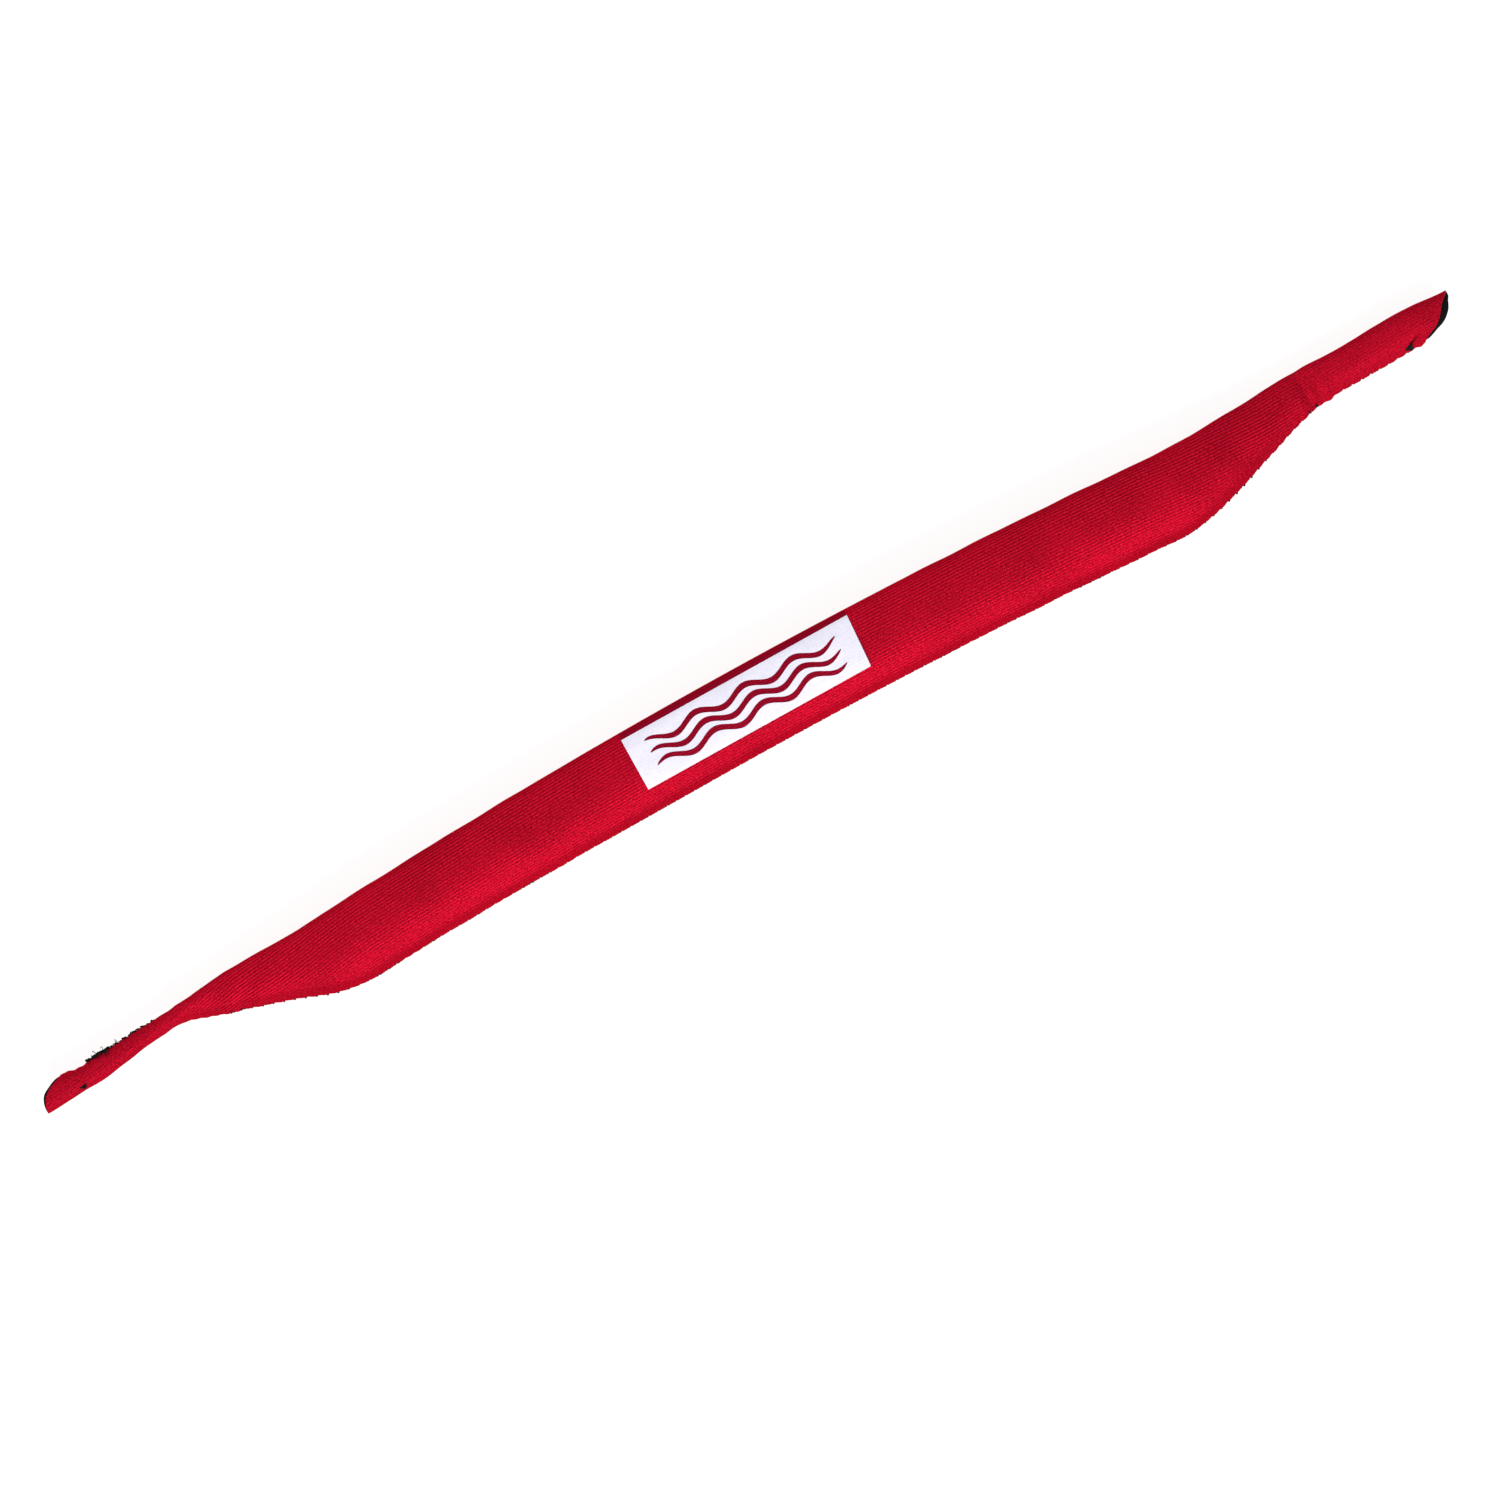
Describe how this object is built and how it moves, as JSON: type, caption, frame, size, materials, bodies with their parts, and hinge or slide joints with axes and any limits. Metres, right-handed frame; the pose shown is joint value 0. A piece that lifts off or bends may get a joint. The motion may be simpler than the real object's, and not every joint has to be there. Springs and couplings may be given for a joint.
{
  "type": "floating eyewear strap",
  "caption": "Padded knit strap that holds sunglasses round the back of the head and floats, with a foam core in its wide middle and a hollow sleeve at each end for a temple arm.",
  "frame": {"origin": "on the flat back of the strap, straight under the centre of the badge", "axes": "+X along the strap towards the sleeve that lies flat, +Y across it towards the folded edge, +Z out of the printed face"},
  "size_m": [0.41, 0.0264, 0.013],
  "materials": {
    "red_knit": "matte",
    "black_neoprene": "matte",
    "float_foam": "matte",
    "black_thread": "satin",
    "white_print": "satin"
  },
  "bodies": {
    "centre": {"knit_centre": "red_knit", "neoprene_centre": "black_neoprene", "float_centre": "float_foam", "seam_thread_centre": "black_thread", "badge": "white_print"},
    "left_inner": {"knit_left_inner": "red_knit", "neoprene_left_inner": "black_neoprene", "float_left_inner": "float_foam", "seam_thread_left_inner": "black_thread"},
    "right_inner": {"knit_right_inner": "red_knit", "neoprene_right_inner": "black_neoprene", "float_right_inner": "float_foam", "seam_thread_right_inner": "black_thread"},
    "left_outer": {"knit_left_outer": "red_knit", "neoprene_left_outer": "black_neoprene", "float_left_outer": "float_foam", "seam_thread_left_outer": "black_thread"},
    "right_outer": {"knit_right_outer": "red_knit", "neoprene_right_outer": "black_neoprene", "float_right_outer": "float_foam", "seam_thread_right_outer": "black_thread"},
    "left_neck": {"knit_left_neck": "red_knit", "neoprene_left_neck": "black_neoprene", "float_left_neck": "float_foam", "seam_thread_left_neck": "black_thread"},
    "right_neck": {"knit_right_neck": "red_knit", "neoprene_right_neck": "black_neoprene", "float_right_neck": "float_foam", "seam_thread_right_neck": "black_thread"},
    "left_sleeve": {"knit_left_sleeve": "red_knit", "neoprene_left_sleeve": "black_neoprene", "seam_thread_left_sleeve": "black_thread", "bar_tack_left": "black_thread"},
    "right_sleeve": {"knit_right_sleeve": "red_knit", "neoprene_right_sleeve": "black_neoprene", "seam_thread_right_sleeve": "black_thread", "bar_tack_right": "black_thread"}
  },
  "joints": [
    {"name": "left_inner_bend", "type": "hinge", "parent": "centre", "child": "left_inner", "pos_m": [-0.055, 0, 0.0061], "axis": [0, -1, 0], "range_deg": [-12, 35], "stiffness_Nm_per_rad": 0.037},
    {"name": "left_outer_bend", "type": "hinge", "parent": "left_inner", "child": "left_outer", "pos_m": [-0.105, 0, 0.0061], "axis": [0, -1, 0], "range_deg": [-10.5, 30], "stiffness_Nm_per_rad": 0.037},
    {"name": "left_neck_bend", "type": "hinge", "parent": "left_outer", "child": "left_neck", "pos_m": [-0.14, 0, 0.00606], "axis": [0, -1, 0], "range_deg": [-25, 40], "stiffness_Nm_per_rad": 0.008},
    {"name": "left_sleeve_twist", "type": "hinge", "parent": "left_neck", "child": "left_sleeve", "pos_m": [-0.165, 0.0009, 0.006], "axis": [1, 0, 0], "range_deg": [-160, 20], "stiffness_Nm_per_rad": 0.003},
    {"name": "right_inner_bend", "type": "hinge", "parent": "centre", "child": "right_inner", "pos_m": [0.055, 0, 0.0061], "axis": [0, 1, 0], "range_deg": [-12, 35], "stiffness_Nm_per_rad": 0.037},
    {"name": "right_outer_bend", "type": "hinge", "parent": "right_inner", "child": "right_outer", "pos_m": [0.105, 0, 0.0061], "axis": [0, 1, 0], "range_deg": [-10.5, 30], "stiffness_Nm_per_rad": 0.037},
    {"name": "right_neck_bend", "type": "hinge", "parent": "right_outer", "child": "right_neck", "pos_m": [0.14, 0, 0.00545], "axis": [0, 1, 0], "range_deg": [-25, 40], "stiffness_Nm_per_rad": 0.008},
    {"name": "right_sleeve_twist", "type": "hinge", "parent": "right_neck", "child": "right_sleeve", "pos_m": [0.165, 0.00095, 0.00438], "axis": [1, 0, 0], "range_deg": [-90, 90], "stiffness_Nm_per_rad": 0.003}
  ],
  "couplings": [
    {"joint": "left_outer_bend", "follows": "left_inner_bend", "ratio": 0.85},
    {"joint": "right_outer_bend", "follows": "right_inner_bend", "ratio": 0.85}
  ]
}
